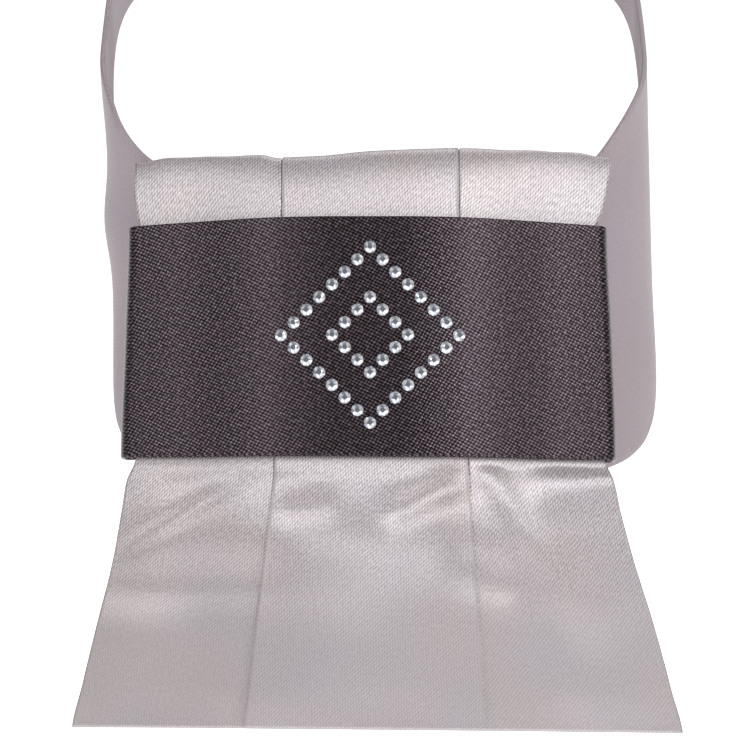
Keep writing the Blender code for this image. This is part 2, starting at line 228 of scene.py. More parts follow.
# pinched folds that fan out from the band, and softer hollows below them: from one end to the
# other, in x and level
FOLDS = table(
    "x_from  q_from  x_to  q_to  half_width  height",
    (-56, -29, -46, -27, 2.5, 0.6),
    (-54, -46, -31, -33, 2.4, -1.0),
    (-62, -53.5, -22, -53.5, 6.0, -1.0),
    (-20, -39, -8, -37, 3.2, -0.8),
    (4, -39.5, 20, -32, 3.6, -1.7),
    (24.5, -27, 37, -48, 2.6, 0.8),
    (19, -50, 32, -54, 5.0, -0.8),
    (38, -32, 58, -30.5, 5.5, 1.5),
    (39, -52, 53, -92, 7.0, 1.2),
    (-1, -52, 0, -92, 13.0, 1.3),
)

# slow waves of the hanging cloth, which start this far below the band and then grow
SOFT_START = 8.0
SOFT_RISE = 15.0
SOFT_WAVES = (
    (0.20, 41.0, 20.0, 0.6),
    (0.15, 29.0, 118.0, 2.1),
    (0.08, 19.0, 65.0, 4.0),
)

# Crystals: flat-backed cut glass in two nested lozenges on the band
STONE_RADIUS = 1.365
STONE_HEIGHT = 1.05
STONE_RIM = 0.35
STONE_TABLE = 0.42
# the ring of corners halfway up the crown: shares of the girdle's radius and of the crown's height
STONE_MID_RADIUS = 0.76
STONE_MID_HEIGHT = 0.55
# the flat backs are shown this far off the satin
STONE_LIFT = 0.06
LOZENGES = table(
    "half_diagonal  stones_a_side",
    (19.4, 7),
    (8.3, 3),
)

# Lines of points in the grids of the strap, the front and the band
STRAP_LINES = 520
STRAP_FACE_LINES = 44
HANGING_LINES = 96
BAND_HIDDEN_LINES = 8
ROLL_LINES = 32
SIDE_LINES = 84
CENTRE_LINES = 76
BAND_LINES = 150
BAND_FACE_LINES = 48

# Camera: its height above the horizon, its distance, and the width it takes in at the front;
# it aims this far to the right of the band's middle and below it
CAMERA_ELEVATION = 15.0
CAMERA_DISTANCE = 1200.0
FRAME_WIDTH = 165.0
AIM_RIGHT = 1.1
AIM_DOWN = 8.36

# Stage, in metres: the floor, and the point that the lights face
FLOOR_HALF_SIZE = 4.0
FLOOR_LEVEL = -0.2
LIT_POINT = (0, -0.05, -0.02)
# strength of the light that the floor gives off and of the light from all round
FLOOR_GLOW = 0.95
ROOM_GLOW = 0.16


# Shared shape functions


def through_rows(keys, values, at):
    """Smooth curve through a table's rows: cubic between rows, with no overshoot past them.

    The slope at a row is the harmonic mean of the slopes beside it, or level at a turn.
    """
    steps = np.diff(values) / np.diff(keys)
    before, after = steps[:-1], steps[1:]
    same_way = before * after > 0
    total = np.where(same_way, before + after, 1.0)
    slopes = np.concatenate([[0.0], np.where(same_way, 2 * before * after / total, 0.0), [0.0]])
    at = np.clip(np.asarray(at, float), keys[0], keys[-1])
    row = np.clip(np.searchsorted(keys, at) - 1, 0, len(keys) - 2)
    span = keys[row + 1] - keys[row]
    t = (at - keys[row]) / span
    start = (2 * t**3 - 3 * t**2 + 1) * values[row] + (t**3 - 2 * t**2 + t) * span * slopes[row]
    end = (3 * t**2 - 2 * t**3) * values[row + 1] + (t**3 - t**2) * span * slopes[row + 1]
    return start + end


def ease(t):
    """Rise from 0 to 1 that starts and ends level."""
    t = np.clip(t, 0.0, 1.0)
    return t * t * (3 - 2 * t)


def waves(a, b, *terms):
    """Sum of sine waves over two lengths: each term is height, wavelength, heading and phase."""
    total = 0.0
    for height, length, heading, phase in terms:
        turn = math.radians(heading)
        run = a * math.cos(turn) + b * math.sin(turn)
        total = total + height * np.sin(2 * math.pi * run / length + phase)
    return total


def strap_rows(angle, *names):
    """Columns of the strap's table read at angles from -360 to 360; both sides are alike."""
    bend = np.where(np.abs(angle) > 180, 360 - np.abs(angle), np.abs(angle))
    return [through_rows(STRAP["angle"], STRAP[name], bend) for name in names]


def strap_point(angle, side, out):
    """Point of the neck strap: side is -1 at its lower edge and 1 at its upper edge.

    The plan is a superellipse with half-axes grown by out, less the lean at that side.
    """
    top, bottom, top_in, bottom_out = strap_rows(angle, "top", "bottom", "top_in", "bottom_out")
    z = (top + bottom) / 2 + side * (top - bottom) / 2
    grow = out - (1 + side) / 2 * top_in + (1 - side) / 2 * bottom_out
    for at, height, wide, tall, bulge in zip(*STRAP_BULGES.values()):
        grow = grow + bulge * np.exp(-(((angle - at) / wide) ** 2) - ((z - height) / tall) ** 2)
    turn = np.radians(angle)
    power = STRAP_SQUARENESS
    across = (np.abs(np.sin(turn)) / (STRAP_HALF_WIDTH + grow)) ** power
    along = (np.abs(np.cos(turn)) / (STRAP_HALF_DEPTH + grow)) ** power
    radius = (across + along) ** (-1 / power)
    x = radius * np.sin(turn) + STRAP_SIDE_SHIFT + STRAP_SLANT * z
    return np.stack(np.broadcast_arrays(x, -radius * np.cos(turn), z), axis=-1)


def sag(x):
    """How far the front piece falls back towards the neck, away from its flat middle."""
    beyond = np.maximum(np.abs(x) - FLAT_HALF, 0) / (SAG_AT - FLAT_HALF)
    return SAG * beyond**SAG_POWER


def front_point(x, q, d):
    """Point of the front piece: straight and leaning behind the band, an arc below it."""
    lean = math.radians(FRONT_LEAN)
    arc = (BAND_BOTTOM - HEM) / (lean - math.radians(HEM_LEAN))
    below = np.maximum(BAND_BOTTOM - q, 0)
    straight = np.maximum(q, BAND_BOTTOM)
    tilt = lean - below / arc
    y = FRONT_Y + straight * math.sin(lean) - arc * (np.cos(tilt) - math.cos(lean))
    z = FRONT_Z + straight * math.cos(lean) - arc * (math.sin(lean) - np.sin(tilt))
    out = d - sag(x)
    points = (x, y - out * np.cos(tilt), z + out * np.sin(tilt))
    return np.stack(np.broadcast_arrays(*points), axis=-1)


def rounded_wall(half_height, wall, face_points, edge_points):
    """Outline of a folded strip's thin section, once round: height, and offset from its middle.

    Two straight faces joined by half circles whose diameter is the wall. The half height is one
    number, or a column of them for a strip whose width changes.
    """
    radius = wall / 2
    straight = np.linspace(-1, 1, face_points)
    turn = np.linspace(0, math.pi, edge_points + 2)[1:-1]
    face = straight * (half_height - radius)
    over = half_height - radius + radius * np.sin(turn)
    height = np.concatenate([face, over, face[..., ::-1], -over], axis=-1)
    offset = np.concatenate([
        np.full(face_points, radius), radius * np.cos(turn),
        np.full(face_points, -radius), -radius * np.cos(turn),
    ])
    return height, offset


def rounded_end(angle, start, stop, rounding):
    """Share of a strip's thickness left near its two ends: a quarter circle at each."""
    end = np.minimum(angle - start, stop - angle)
    return np.sqrt(np.clip(1 - (1 - np.clip(end / rounding, 0, 1)) ** 2, 0, 1))


def surface(name, points, uv, material, close_rows=False, close_columns=False):
    """Piece from a grid of points in millimetres, with a UV map of cloth lengths in millimetres.

    A closed direction joins its last line of points to its first. Coincident points are welded.
    """
    rows, columns = points.shape[:2]
    index = np.arange(rows * columns).reshape(rows, columns)
    if close_columns:
        index = np.hstack([index, index[:, :1]])
        uv = np.concatenate([uv, 2 * uv[:, -1:] - uv[:, -2:-1]], axis=1)
    if close_rows:
        index = np.vstack([index, index[:1]])
        uv = np.concatenate([uv, 2 * uv[-1:] - uv[-2:-1]], axis=0)
    corners = ((slice(None, -1), slice(None, -1)), (slice(None, -1), slice(1, None)),
               (slice(1, None), slice(1, None)), (slice(1, None), slice(None, -1)))
    quads = np.stack([index[c] for c in corners], axis=-1).reshape(-1, 4)
    quad_uv = np.stack([uv[c] for c in corners], axis=-2).reshape(-1, 2)
    mesh = bpy.data.meshes.new(name)
    mesh.from_pydata((points.reshape(-1, 3) * MM).tolist(), [], quads.tolist())
    mesh.uv_layers.new(name="cloth_mm").data.foreach_set("uv", quad_uv.ravel())
    weld = bmesh.new()
    weld.from_mesh(mesh)
    bmesh.ops.remove_doubles(weld, verts=weld.verts, dist=1e-7)
    weld.to_mesh(mesh)
    weld.free()
    mesh.shade_smooth()
    mesh.materials.append(material)
    piece = bpy.data.objects.new(name, mesh)
    bpy.context.scene.collection.objects.link(piece)
    return piece


# Materials


def linear(colour):
    """Linear colour from sRGB hex: the power curve of the sRGB standard, channel by channel."""
    channels = [int(colour[i:i + 2], 16) / 255 for i in (1, 3, 5)]
    return tuple(c / 12.92 if c <= 0.04045 else ((c + 0.055) / 1.055) ** 2.4 for c in channels)


def add_node(tree, kind, inputs=(), **settings):
    """Adds a node with settings; inputs gives each socket a value or another node's output."""
    made = tree.nodes.new(kind)
    for name, value in settings.items():
        setattr(made, name, value)
    for key, value in dict(inputs).items():
        if isinstance(value, bpy.types.NodeSocket):
            tree.links.new(value, made.inputs[key])
        else:
            made.inputs[key].default_value = value
    return made


def new_material(name, roughness, **constants):
    """Material with a Principled shader; constants are set on its own sockets."""
    material = bpy.data.materials.new(name)
    material.use_nodes = True
    shader = material.node_tree.nodes["Principled BSDF"]
    shader.inputs["Roughness"].default_value = roughness
    for socket, value in constants.items():
        shader.inputs[socket.replace("_", " ")].default_value = value
    return material, material.node_tree, shader


def weave(tree, rows, crossing, share, sharpness):
    """Height of a satin weave from 0 to 1 over the cloth's UV map, in millimetres.

    Two cosines cross: the slanting rows of floats, and a weaker one that cuts them into floats.
    Each is given as turns for each millimetre along U and V. Slow noise sways the threads, and
    fine noise makes some floats stand higher than others. Sharpness over 1 narrows the floats.
    """
    place = add_node(tree, "ShaderNodeTexCoord").outputs["UV"]
    wander = add_node(tree, "ShaderNodeTexNoise", {"Vector": place, "Scale": 0.12, "Detail": 2.0})
    shift = add_node(tree, "ShaderNodeVectorMath", {0: wander.outputs["Color"], 1: (0.9, 0.9, 0)},
                     operation="MULTIPLY")
    moved = add_node(tree, "ShaderNodeVectorMath", {0: place, 1: shift.outputs[0]})
    stripes = []
    for turns in (rows, crossing):
        phase = add_node(tree, "ShaderNodeVectorMath", {
            0: moved.outputs[0], 1: (2 * math.pi * turns[0], 2 * math.pi * turns[1], 0)},
            operation="DOT_PRODUCT")
        wave = add_node(tree, "ShaderNodeMath", {0: phase.outputs["Value"]}, operation="COSINE")
        stripes.append(wave.outputs[0])
    both = add_node(tree, "ShaderNodeMath", {
        0: stripes[1], 1: share, 2: stripes[0]}, operation="MULTIPLY_ADD")
    uneven = add_node(tree, "ShaderNodeTexNoise", {"Vector": place, "Scale": 1.3, "Detail": 1.0})
    mixed = add_node(tree, "ShaderNodeMath", {
        0: uneven.outputs["Fac"], 1: 3.2, 2: both.outputs[0]}, operation="MULTIPLY_ADD")
    height = add_node(tree, "ShaderNodeMapRange", {
        "Value": mixed.outputs[0], "From Min": 0.4 - share, "From Max": 2.8 + share})
    return add_node(tree, "ShaderNodeMath", {0: height.outputs[0], 1: sharpness},
                    operation="POWER").outputs[0]


def grey_satin(name, low, high, relief, roughness, metallic):
    """Polyester satin, silver grey with a mauve cast: glossy vertical floats, warm in its shade."""
    material, tree, shader = new_material(name, roughness, Metallic=metallic, Anisotropic=0.75)
    place = add_node(tree, "ShaderNodeTexCoord").outputs["UV"]
    # real threads are about 0.1 mm apart: their slanting rows are drawn 0.6 mm apart, to show
    height = weave(tree, rows=(1.12, -1.12), crossing=(1.72, 0.1), share=0.7, sharpness=1.0)
    # the threads show best near the band, where the cloth is drawn tight
    split = add_node(tree, "ShaderNodeSeparateXYZ", {0: place})
    tight = add_node(tree, "ShaderNodeMapRange", {
        "Value": split.outputs["Y"], "From Min": -66.0, "From Max": -36.0, "To Min": 0.4})
    centred = add_node(tree, "ShaderNodeMath", {0: height, 1: 0.5}, operation="SUBTRACT")
    shown = add_node(tree, "ShaderNodeMath", {
        0: centred.outputs[0], 1: tight.outputs[0], 2: 0.5}, operation="MULTIPLY_ADD")
    colour = add_node(tree, "ShaderNodeMix", {
        "Factor": shown.outputs[0], 6: (*linear(low), 1), 7: (*linear(high), 1)}, data_type="RGBA")
    # the dye's cast drifts a little from warm to cool over tens of millimetres
    drift = add_node(tree, "ShaderNodeTexNoise", {"Vector": place, "Scale": 0.035, "Detail": 1.0})
    cast = add_node(tree, "ShaderNodeMix", {
        "Factor": drift.outputs["Fac"], 6: (*linear("#FFF8F2"), 1), 7: (*linear("#F6F7FF"), 1)},
        data_type="RGBA")
    tinted = add_node(tree, "ShaderNodeMix", {
        "Factor": 1.0, 6: colour.outputs[2], 7: cast.outputs[2]},
        data_type="RGBA", blend_type="MULTIPLY")
    bump = add_node(tree, "ShaderNodeBump", {
        "Height": shown.outputs[0], "Strength": relief, "Distance": 0.06 * MM})
    tangent = add_node(tree, "ShaderNodeTangent", direction_type="UV_MAP", uv_map="cloth_mm")
    tree.links.new(tinted.outputs[2], shader.inputs["Base Color"])
    tree.links.new(bump.outputs[0], shader.inputs["Normal"])
    tree.links.new(tangent.outputs[0], shader.inputs["Tangent"])
    return material


def black_satin():
    """Black satin ribbon: floats run along the band, so its gloss stands in upright bars."""
    material, tree, shader = new_material(
        "black_polyester_satin", 0.42, Metallic=0.85, Anisotropic=0.85, Anisotropic_Rotation=0.25)
    # real threads are about 0.1 mm apart: their slanting rows are drawn 0.7 mm apart, to show
    height = weave(tree, rows=(0.62, 1.30), crossing=(1.15, -0.75), share=0.75, sharpness=2.6)
    colour = add_node(tree, "ShaderNodeMix", {
        "Factor": height, 6: (*linear("#150F12"), 1), 7: (*linear("#8A7A83"), 1)},
        data_type="RGBA")
    bump = add_node(tree, "ShaderNodeBump", {
        "Height": height, "Strength": 0.8, "Distance": 0.06 * MM})
    tangent = add_node(tree, "ShaderNodeTangent", direction_type="UV_MAP", uv_map="cloth_mm")
    tree.links.new(colour.outputs[2], shader.inputs["Base Color"])
    tree.links.new(bump.outputs[0], shader.inputs["Normal"])
    tree.links.new(tangent.outputs[0], shader.inputs["Tangent"])
    return material


def cut_crystal():
    """Foil-backed glass crystal: bright mirror-like facets, each with a painted glint: a tone set by
    the way the facet faces.
    """
    material, tree, shader = new_material("foiled_glass_painted_glints", 0.12, Metallic=0.5)
    # painted glints: noise over each facet's facing gives it a tone from grey-blue to near white,
    # standing in for light caught in the facets
    facing = add_node(tree, "ShaderNodeNewGeometry").outputs["True Normal"]
    facet = add_node(tree, "ShaderNodeTexNoise", {"Vector": facing, "Scale": 3.1, "Detail": 0.0})
    painted_glint = add_node(tree, "ShaderNodeValToRGB", {"Fac": facet.outputs["Fac"]})
    painted_glint.color_ramp.elements[0].position = 0.38
    painted_glint.color_ramp.elements[0].color = (*linear("#9FA3B3"), 1)
    painted_glint.color_ramp.elements[1].position = 0.62
    painted_glint.color_ramp.elements[1].color = (*linear("#FAFBFD"), 1)
    tree.links.new(painted_glint.outputs[0], shader.inputs["Base Color"])
    return material


def crystal_table():
    """The same glass on the table, painted darker: painted shade for the dark look straight down
    through the table.
    """
    material, _, shader = new_material("crystal_table_painted_dark", 0.05, Metallic=0.3)
    # painted shade: a dark grey base colour in place of the glass's own
    shader.inputs["Base Color"].default_value = (*linear("#74757F"), 1)
    return material


def pad_weave():
    """Hook-and-loop tape: matt nylon, a nap of tiny loops."""
    material, tree, shader = new_material("nylon_hook_and_loop", 0.85)
    place = add_node(tree, "ShaderNodeTexCoord").outputs["UV"]
    loops = add_node(tree, "ShaderNodeTexVoronoi", {"Vector": place, "Scale": 1.4})
    colour = add_node(tree, "ShaderNodeMix", {
        "Factor": loops.outputs["Distance"], 6: (*linear("#B4ABB1"), 1), 7: (*linear("#6F676D"), 1)},
        data_type="RGBA")
    bump = add_node(tree, "ShaderNodeBump", {
        "Height": loops.outputs["Distance"], "Strength": 0.8, "Distance": 0.2 * MM})
    tree.links.new(colour.outputs[2], shader.inputs["Base Color"])
    tree.links.new(bump.outputs[0], shader.inputs["Normal"])
    return material


# Pieces


def neck_strap(material):
    """Folded strip round the neck, its outer end stepping out over its inner end behind."""
    angle = np.linspace(INNER_END, OUTER_END, STRAP_LINES)[:, None]
    top, bottom = strap_rows(angle, "top", "bottom")
    half = (top - bottom) / 2
    height, offset = rounded_wall(half, STRAP_WALL, STRAP_FACE_LINES, 7)
    lap = STRAP_WALL + GAP + PAD_THICK + GAP
    step = lap * ease((angle - LAP_START) / (LAP_FULL - LAP_START))
    thin = rounded_end(angle, INNER_END, OUTER_END, STRAP_END_ROUND)
    points = strap_point(angle, height / half, step + offset * thin)
    along = np.radians(angle) * STRAP_RADIUS
    around = np.cumsum(np.abs(np.diff(height, axis=1, prepend=height[:, :1])), axis=1)
    uv = np.stack(np.broadcast_arrays(along, around), axis=-1)
    return surface("neck_strap_satin", points, uv, material, close_columns=True)


def pleat_section():
    """Cross-section of the pleated cloth, left to right.

    Each point has: panel (0 left, 1 centre, 2 right), place across that panel from 0 to 1,
    shift from the pleat line, layer above the side panels, and cloth length past that line.
    """
    bend = np.radians(np.linspace(-75, 75, 7))
    radius = STEP_SHOWN / 2
    arc = STEP_SHOWN + FOLD_REACH
    side = [(0, t, 0.0, 0.0, 0.0) for t in 1 - (1 - np.linspace(0, 1, SIDE_LINES)) ** 1.6]
    under = [(0, 1.0, TUCK * t, 0.0, TUCK * t) for t in (0.08, 0.35, 0.65, 0.95)]
    inner_fold = [
        (0, 1.0, TUCK + FOLD_REACH * math.cos(a), (1 + math.sin(a)) / 2, TUCK + radius * a + arc / 2)
        for a in bend
    ]
    middle = [(0, 1.0, TUCK * t, 1.0, TUCK * (2 - t) + arc) for t in (0.95, 0.6, 0.3, 0.04)]
    outer_fold = [
        (0, 1.0, -FOLD_REACH * math.cos(a), (3 + math.sin(a)) / 2, 2 * TUCK + 1.5 * arc + radius * a)
        for a in bend
    ]
    left = side + under + inner_fold + middle + outer_fold
    whole = 2 * (TUCK + arc)
    centre = [(1, t, 0.0, 2.0, whole) for t in np.linspace(0.01, 0.99, CENTRE_LINES)]
    right = [(2, t, -shift, layer, 2 * whole - run) for _, t, shift, layer, run in reversed(left)]
    return np.array(left + centre + right)


def roll_path():
    """Stations of the cloth: up the front from the hem, over the roll, down behind the band.

    Each has: level along the cloth, q and d of the base line, and the turn of its outward side,
    which is square to the line.
    """
    top = ROLL_START + ROLL_RISE
    fall_end = top - ROLL_FALL
    back = ROLL_BACK + ROLL_OVER
    hanging = np.linspace(HEM, BAND_BOTTOM + BAND_REACH, HANGING_LINES)
    behind_band = np.linspace(BAND_BOTTOM + BAND_REACH, ROLL_START, BAND_HIDDEN_LINES)[1:-1]
    straight = np.concatenate([hanging, behind_band])
    rise = np.radians(np.linspace(0, 90, ROLL_LINES))
    fall = np.radians(np.linspace(90, 180, 14))[1:]
    above_band = BAND_TOP + TURNED_CLEAR
    inward = np.linspace(fall_end, above_band, 7)[1:]
    down = np.linspace(above_band, TURNED_END, 10)[1:]
    forward = ease((fall_end - inward) / (fall_end - above_band))
    q = np.concatenate([
        straight, ROLL_START + ROLL_RISE * np.sin(rise),
        top - ROLL_FALL * (1 - np.sin(fall)), inward, down])
    d = np.concatenate([
        0 * straight, ROLL_BACK * (np.cos(rise) - 1), ROLL_OVER * np.cos(fall) - ROLL_BACK,
        (back - LAYERS_APART) * forward - back, 0 * down - LAYERS_APART])
    turn = np.unwrap(np.arctan2(-np.gradient(d), np.gradient(q)))
    run = np.hypot(np.diff(q + PLEAT_STEP * np.sin(turn)), np.diff(d + PLEAT_STEP * np.cos(turn)))
    level = HEM + np.concatenate([[0.0], np.cumsum(run)])
    return np.stack([level, q, d, turn], axis=1)


def fold_height(x, q):
    """Sum of the folds: each is a ridge or valley along a line, fading at its ends."""
    total = np.zeros(np.broadcast(x, q).shape)
    for x_from, q_from, x_to, q_to, half_width, height in zip(*FOLDS.values()):
        along = np.array([x_to - x_from, q_to - q_from])
        length = np.hypot(*along)
        along = along / length
        run = ((x - x_from) * along[0] + (q - q_from) * along[1]) / length
        off = (x - x_from) * along[1] - (q - q_from) * along[0]
        starting = ease((run + FOLD_FADE) / (2 * FOLD_FADE))
        ending = ease((1 + FOLD_FADE - run) / (2 * FOLD_FADE))
        total = total + height * (starting * ending) * np.exp(-((off / half_width) ** 2))
    return total


def swell_height(panel, place, shift, level, width):
    """How far the cloth swells: a side panel's swell, blending into the centre's past the pleat.

    width is the centre panel's; the layers tucked under it swell by the same amount as it does.
    """
    side, centre = (through_rows(PUFF["level"], PUFF[name], level) for name in ("side", "centre"))
    tucked = np.maximum(np.where(panel == 0, shift, -shift), 0.0)
    inside = np.where(panel == 1, np.minimum(place, 1 - place) * width, tucked)
    crown = OUTER_SWELL + (1 - OUTER_SWELL) * ease(place / OUTER_FADE)
    outer = np.where(panel == 1, side, side * crown)
    return outer + (centre - side) * ease(inside / CENTRE_BLEND)


def pleated_front(material):
    """Box-pleated satin: the section carried up the front, over the roll and down behind."""
    panel, place, shift, layer, run = np.moveaxis(pleat_section()[None, :, :], -1, 0)
    level, q, d, turn = np.moveaxis(roll_path()[:, None, :], -1, 0)
    edges = {name: through_rows(FRONT_EDGES["q"], FRONT_EDGES[name], q) for name in FRONT_EDGES}
    left, right = edges["left_pleat"], edges["right_pleat"]
    starts = (edges["left_edge"], left, edges["right_edge"])
    ends = (left, right, right)
    start = np.select([panel == 0, panel == 1], starts[:2], starts[2])
    end = np.select([panel == 0, panel == 1], ends[:2], ends[2])
    x = start + (end - start) * place + shift
    centre = panel == 1
    hang = ease((BAND_BOTTOM - level - SOFT_START) / SOFT_RISE)
    swell = swell_height(panel, place, shift, level, right - left)
    swell = swell + hang * waves(x, level, *SOFT_WAVES)
    swell = swell + fold_height(x, level) * ease((BAND_BOTTOM - level - FOLD_START) / FOLD_RISE)
    # the roll is drawn up or down to its top line
    above_band = np.clip((q - BAND_TOP) / (ROLL_START + ROLL_RISE - BAND_TOP), 0.0, 1.0)
    lift = through_rows(ROLL_TOPS["x"], ROLL_TOPS["lift"], x) * above_band
    # a side panel rises from its outer face at the edge to lie flush beside the centre panel
    top_face = 2 * PLEAT_STEP + (CLOTH - CLOTH_SHOWN) / 2
    under_face = top_face - 2 * STEP_SHOWN
    behind = ease(2 - 2 * turn / math.pi)
    to_pleat = np.abs(end - x) - FOLD_REACH
    sink = PLEAT_SINK * ease((BAND_BOTTOM - level) / SINK_RISE) * (1 - ease(to_pleat / PLEAT_SLOPE))
    flush = (CLOTH - CLOTH_SHOWN) / 2 + 2 * PLEAT_STEP * sleeve_rise(x) * behind - SIDE_LOWER - sink
    drop = ease((to_pleat - PLEAT_EDGE * CLOTH_SHOWN) / PLEAT_DROP)
    side = under_face + (flush - under_face) * drop * (shift == 0)
    out = swell + np.where(centre, top_face, side + (top_face - under_face) * layer / 2)
    corner = HEM_SLOPE * x - HEM_CORNER_DROP * (x / SAG_AT) ** 2
    hem = corner * ease((BAND_BOTTOM - q) / (BAND_BOTTOM - HEM))
    points = front_point(x, q + lift + hem + out * np.sin(turn), d + out * np.cos(turn))
    # the cloth's grain runs down the middle line of each panel
    grain = x - shift - (start + end) / 2 + panel * GRAIN_SHIFT
    uv = np.stack(np.broadcast_arrays(grain + run, level), axis=-1)
    piece = surface("pleated_front_satin", points, uv, material)
    wall = piece.modifiers.new("Wall", "SOLIDIFY")
    wall.thickness = CLOTH_SHOWN * MM
    wall.offset = 0.0
    return piece


def sleeve_rise(x):
    """How much of the pleats' height the band lies on: all over the centre, none at its sides."""
    return ease((BAND_STEP_END - np.abs(x)) / (BAND_STEP_END - FRONT_EDGES["right_pleat"][-1]))


def band_front(x):
    """Height of the band's middle line: it lies on the centre pleat and slopes off beside it."""
    return CLOTH / 2 + GAP + BAND_WALL / 2 + 2 * PLEAT_STEP * sleeve_rise(x)


def band_path(q):
    """Middle line of the sleeve at levels q: x and d, once round from the left of the front."""
    left, right = (through_rows(BAND_EDGES["q"], BAND_EDGES[name], q) for name in ("left", "right"))
    back_base = -LAYERS_APART
    radius = (band_front(SAG_AT) * 2 - back_base) / 2
    fold = np.linspace(0, math.pi, 16)[None, 1:-1]
    across = np.linspace(-1, 1, BAND_LINES)[None, :]
    flat = (right - left) / 2 - BAND_FOLD - BAND_WALL / 2
    middle = (right + left) / 2
    front_x = middle + flat * across
    right_x = middle + flat + BAND_FOLD * np.sin(fold)
    left_x = middle - flat - BAND_FOLD * np.sin(fold)
    side_d = np.broadcast_to(back_base / 2 + radius * np.cos(fold), right_x.shape)
    back_x = front_x[:, ::-1]
    x = np.hstack([front_x, right_x, back_x, left_x])
    d = np.hstack([band_front(front_x), side_d, back_base - band_front(back_x), side_d[:, ::-1]])
    return x, d


def black_band(material):
    """Sleeve with a rounded wall: its section is carried once round the pleats."""
    middle = (BAND_TOP + BAND_BOTTOM) / 2
    half = (BAND_TOP - BAND_BOTTOM) / 2
    height, offset = rounded_wall(half, BAND_WALL, BAND_FACE_LINES, 5)
    q = middle + height[:, None]
    x, d = band_path(q)
    run_x = np.roll(x, -1, axis=1) - np.roll(x, 1, axis=1)
    run_d = np.roll(d, -1, axis=1) - np.roll(d, 1, axis=1)
    length = np.hypot(run_x, run_d)
    x_out = x - offset[:, None] * run_d / length
    d_out = d + offset[:, None] * run_x / length
    aside = x / SAG_AT
    drop = BAND_CORNER_DROP * aside**4 * ease((q - middle) / (BAND_TOP - middle))
    corner = BAND_CORNER_LIFT * aside**2 - BAND_TILT * aside
    lift = corner * ease((middle - q) / (middle - BAND_BOTTOM))
    points = front_point(x_out, q - drop + lift, d_out)
    along = (np.diff(line, prepend=line[:1]) for line in (x[0], d[0]))
    around = np.cumsum(np.hypot(*along))[None, :]
    section = (np.diff(line, prepend=line[:1]) for line in (height, offset))
    upward = np.cumsum(np.hypot(*section))
    uv = np.stack(np.broadcast_arrays(around, upward[:, None]), axis=-1)
    return surface("black_band_satin", points, uv, material, close_rows=True, close_columns=True)


def closure_pad(material):
    """Hook-and-loop pad between the overlapping ends, with rounded edges."""
    half = (STRAP["top"][-1] - STRAP["bottom"][-1]) / 2
    height, offset = rounded_wall(PAD_HALF_HEIGHT, PAD_THICK, 20, 5)
    angle = np.linspace(*PAD_ANGLES, 40)[:, None]
    thin = rounded_end(angle, *PAD_ANGLES, PAD_END_ROUND)
    out = STRAP_WALL / 2 + GAP + PAD_THICK / 2 + offset[None, :] * thin
    points = strap_point(angle, height[None, :] / half, out)
    around = np.cumsum(np.abs(np.diff(height, prepend=height[:1])))[None, :]
    uv = np.stack(np.broadcast_arrays(np.radians(angle) * PAD_RADIUS, around), axis=-1)
    return surface("closure_pad_tape", points, uv, material, close_columns=True)


def stone_places():
    """Places of the crystals: even steps along the four sides of each lozenge."""
    places = []
    for half, count in zip(*LOZENGES.values()):
        corners = [(half, 0), (0, half), (-half, 0), (0, -half)]
        for (x0, q0), (x1, q1) in zip(corners, corners[1:] + corners[:1]):
            for step in range(int(count)):
                t = step / count
                places.append((x0 + (x1 - x0) * t, q0 + (q1 - q0) * t))
    return places


def cut_stone():
    """Flat-backed brilliant cut: rings of points from the girdle to the table, and its facets.

    The rings are 16 points at the girdle, bottom and top, 8 half a step on, and the table's 8.
    """
    crown = STONE_HEIGHT - STONE_RIM
    rings = (
        (16, STONE_RADIUS, 0.0, 0.0),
        (16, STONE_RADIUS, STONE_RIM, 0.0),
        (8, STONE_RADIUS * STONE_MID_RADIUS, STONE_RIM + crown * STONE_MID_HEIGHT, 0.0),
        (8, STONE_RADIUS * STONE_TABLE, STONE_HEIGHT, 0.5),
    )
    points = []
    for count, radius, height, shift in rings:
        turn = (np.arange(count) + shift) * 2 * math.pi / count
        ring = (radius * np.cos(turn), radius * np.sin(turn), np.full(count, height))
        points.append(np.stack(ring, axis=1))
    base, rim, mid, top = range(16), range(16, 32), range(32, 40), range(40, 48)
    facets = [tuple(base)[::-1], tuple(top)]
    facets += [(base[i], base[(i + 1) % 16], rim[(i + 1) % 16], rim[i]) for i in range(16)]
    for i in range(8):
        j = (i + 1) % 8
        low, high = rim[2 * i], rim[2 * i + 1]
        facets += [(low, high, mid[i]), (high, rim[(2 * i + 2) % 16], mid[j]),
                   (mid[i], high, mid[j], top[i]), (top[i - 1], mid[i], top[i])]
    return np.concatenate(points), facets


def crystals(glass, table_glass):
    """One piece for each crystal, seated square on the band and turned by chance."""
    points, facets = cut_stone()
    chance = np.random.default_rng(7)
    reach = 0.5
    seat = BAND_WALL / 2 + STONE_LIFT
    pieces = []
    for number, (x, q) in enumerate(stone_places(), start=1):
        def band_surface(dx, dq):
            return Vector(front_point(x + dx, q + dq, band_front(x + dx)))
        across = (band_surface(reach, 0) - band_surface(-reach, 0)).normalized()
        up = (band_surface(0, reach) - band_surface(0, -reach)).normalized()
        out = across.cross(up).normalized()
        spin = chance.uniform(0, 2 * math.pi)
        side = across * math.cos(spin) + out.cross(across) * math.sin(spin)
        axes = np.array([side, out.cross(side), out])
        placed = np.array(band_surface(0, 0) + out * seat) + points @ axes
        mesh = bpy.data.meshes.new(f"crystal_{number:02d}")
        mesh.from_pydata((placed * MM).tolist(), [], facets)
        mesh.materials.append(glass)
        mesh.materials.append(table_glass)
        # the table facet takes the glass painted dark, as painted shade
        mesh.polygons[1].material_index = 1
        piece = bpy.data.objects.new(mesh.name, mesh)
        bpy.context.scene.collection.objects.link(piece)
        pieces.append(piece)
    return pieces


# Stage, lights and camera


